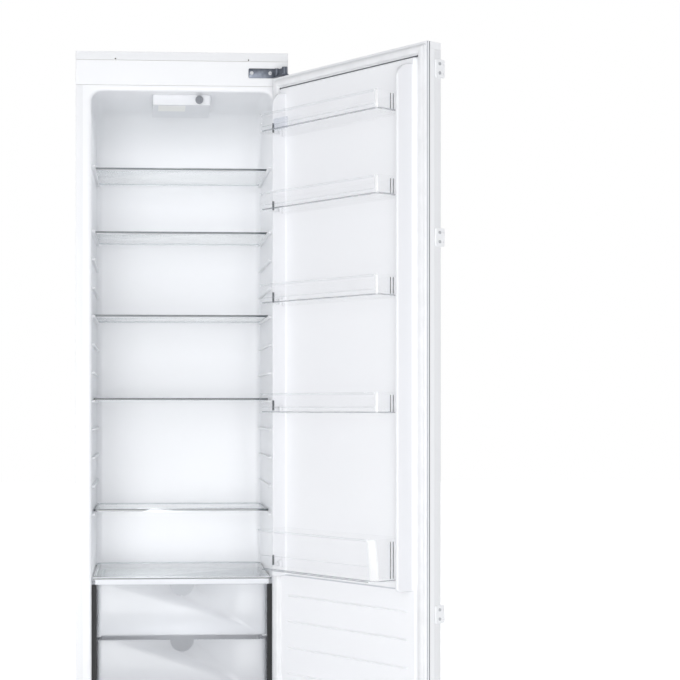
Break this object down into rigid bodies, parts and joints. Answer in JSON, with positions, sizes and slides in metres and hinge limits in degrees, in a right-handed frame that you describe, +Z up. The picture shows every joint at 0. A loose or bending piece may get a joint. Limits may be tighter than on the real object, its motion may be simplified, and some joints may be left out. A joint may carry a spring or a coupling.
{
  "type": "built-in refrigerator",
  "caption": "Tall built-in larder refrigerator with one full-height right-hung door, glass shelves, crisper drawers and clear lift-out door bins.",
  "frame": {"origin": "underside of the base plate, at the centre of the body's width and depth (without the door)", "axes": "+Z up, the door and the cavity's mouth face -Y, the back faces +Y, the door's hinge is on the +X side"},
  "size_m": [0.8582, 0.9848, 1.77],
  "materials": {
    "white_painted_steel": "satin white coil-coated steel",
    "galvanised_sheet": "galvanised",
    "insulation_foam": "rigid foam, hidden",
    "white_liner_plastic": "gloss vacuum-formed polystyrene",
    "white_moulded_plastic": "fine-textured moulded plastic",
    "zinc_plated_steel": "bright zinc-plated",
    "dark_moulded_plastic": "matt moulded plastic",
    "black_enamelled_steel": "black enamel",
    "copper": "drawn copper tube",
    "black_rubber": "moulded rubber",
    "white_gasket_vinyl": "soft extruded vinyl",
    "opal_diffuser": "opal diffusing plastic",
    "circuit_board": "white solder mask",
    "grey_moulded_plastic": "moulded plastic",
    "shelf_glass": "tempered float glass",
    "clear_trim_plastic": "clear grey extruded plastic",
    "clear_drawer_plastic": "translucent moulded polystyrene",
    "clear_bin_plastic": "clear moulded polystyrene"
  },
  "bodies": {
    "cabinet": {"side_panel_left": "white_painted_steel", "side_panel_right": "white_painted_steel", "top_panel": "white_painted_steel", "back_panel": "white_painted_steel", "base_plate": "galvanised_sheet", "niche_panel": "galvanised_sheet", "cabinet_foam": "insulation_foam", "inner_liner": "white_liner_plastic", "top_fascia": "white_moulded_plastic", "upper_hinge": "zinc_plated_steel", "lower_hinge": "zinc_plated_steel", "hinge_screws": "zinc_plated_steel", "door_sensor": "dark_moulded_plastic", "control_box": "white_moulded_plastic", "lamp_cover": "opal_diffuser", "led_board": "circuit_board", "crisper_cover": "shelf_glass", "crisper_cover_trim": "clear_trim_plastic", "crisper_side_seals": "black_rubber", "evaporator": "galvanised_sheet", "compressor": "black_enamelled_steel", "compressor_grommets": "black_rubber", "relay_box": "dark_moulded_plastic", "refrigerant_pipes": "copper", "filter_drier": "copper", "condenser_coil": "black_enamelled_steel", "condenser_wires": "black_enamelled_steel", "condenser_clips": "dark_moulded_plastic", "drain_tube": "white_moulded_plastic", "drip_tray": "grey_moulded_plastic", "cord_gland": "white_moulded_plastic"},
    "shelf_1": {"shelf_1_glass": "shelf_glass", "shelf_1_trim": "clear_trim_plastic"},
    "shelf_2": {"shelf_2_glass": "shelf_glass", "shelf_2_trim": "clear_trim_plastic"},
    "shelf_3": {"shelf_3_glass": "shelf_glass", "shelf_3_trim": "clear_trim_plastic"},
    "shelf_4": {"shelf_4_glass": "shelf_glass", "shelf_4_trim": "clear_trim_plastic"},
    "shelf_5": {"shelf_5_glass": "shelf_glass", "shelf_5_trim": "clear_trim_plastic"},
    "upper_drawer": {"crisper_drawer_upper": "clear_drawer_plastic"},
    "lower_drawer": {"crisper_drawer_lower": "clear_drawer_plastic"},
    "knob": {"thermostat_knob": "grey_moulded_plastic"},
    "door": {"door_outer_panel": "white_painted_steel", "door_side_strips": "white_moulded_plastic", "door_top_cap": "white_moulded_plastic", "door_bottom_cap": "white_moulded_plastic", "door_liner": "white_liner_plastic", "door_foam": "insulation_foam", "door_hinge_bushes": "dark_moulded_plastic", "door_gasket": "white_gasket_vinyl", "rail_brackets": "white_moulded_plastic", "bracket_screws": "zinc_plated_steel"},
    "bin_1": {"door_bin_1": "clear_bin_plastic"},
    "bin_2": {"door_bin_2": "clear_bin_plastic"},
    "bin_3": {"door_bin_3": "clear_bin_plastic"},
    "bin_4": {"door_bin_4": "clear_bin_plastic"},
    "rack": {"bottle_rack": "clear_bin_plastic"}
  },
  "joints": [
    {"name": "shelf_1_slide", "type": "slide", "parent": "cabinet", "child": "shelf_1", "axis": [0, -1, 0], "range_m": [0, 0.16]},
    {"name": "shelf_2_slide", "type": "slide", "parent": "cabinet", "child": "shelf_2", "axis": [0, -1, 0], "range_m": [0, 0.16]},
    {"name": "shelf_3_slide", "type": "slide", "parent": "cabinet", "child": "shelf_3", "axis": [0, -1, 0], "range_m": [0, 0.16]},
    {"name": "shelf_4_slide", "type": "slide", "parent": "cabinet", "child": "shelf_4", "axis": [0, -1, 0], "range_m": [0, 0.16]},
    {"name": "shelf_5_slide", "type": "slide", "parent": "cabinet", "child": "shelf_5", "axis": [0, -1, 0], "range_m": [0, 0.16]},
    {"name": "upper_drawer_slide", "type": "slide", "parent": "cabinet", "child": "upper_drawer", "axis": [0, -1, 0], "range_m": [0, 0.3]},
    {"name": "lower_drawer_slide", "type": "slide", "parent": "cabinet", "child": "lower_drawer", "axis": [0, -1, 0], "range_m": [0, 0.19]},
    {"name": "thermostat_turn", "type": "hinge", "parent": "cabinet", "child": "knob", "pos_m": [0.045, -0.2, 1.657], "axis": [0, -1, 0], "range_deg": [0, 240]},
    {"name": "door_hinge", "type": "hinge", "parent": "cabinet", "child": "door", "pos_m": [0.258, -0.284, 0.87], "axis": [0, 0, 1], "range_deg": [-125.7, 0]},
    {"name": "bin_1_lift", "type": "slide", "parent": "door", "child": "bin_1", "axis": [0, 0, 1], "range_m": [0, 0.035]},
    {"name": "bin_2_lift", "type": "slide", "parent": "door", "child": "bin_2", "axis": [0, 0, 1], "range_m": [0, 0.035]},
    {"name": "bin_3_lift", "type": "slide", "parent": "door", "child": "bin_3", "axis": [0, 0, 1], "range_m": [0, 0.035]},
    {"name": "bin_4_lift", "type": "slide", "parent": "door", "child": "bin_4", "axis": [0, 0, 1], "range_m": [0, 0.035]},
    {"name": "rack_lift", "type": "slide", "parent": "door", "child": "rack", "axis": [0, 0, 1], "range_m": [0, 0.035]}
  ]
}
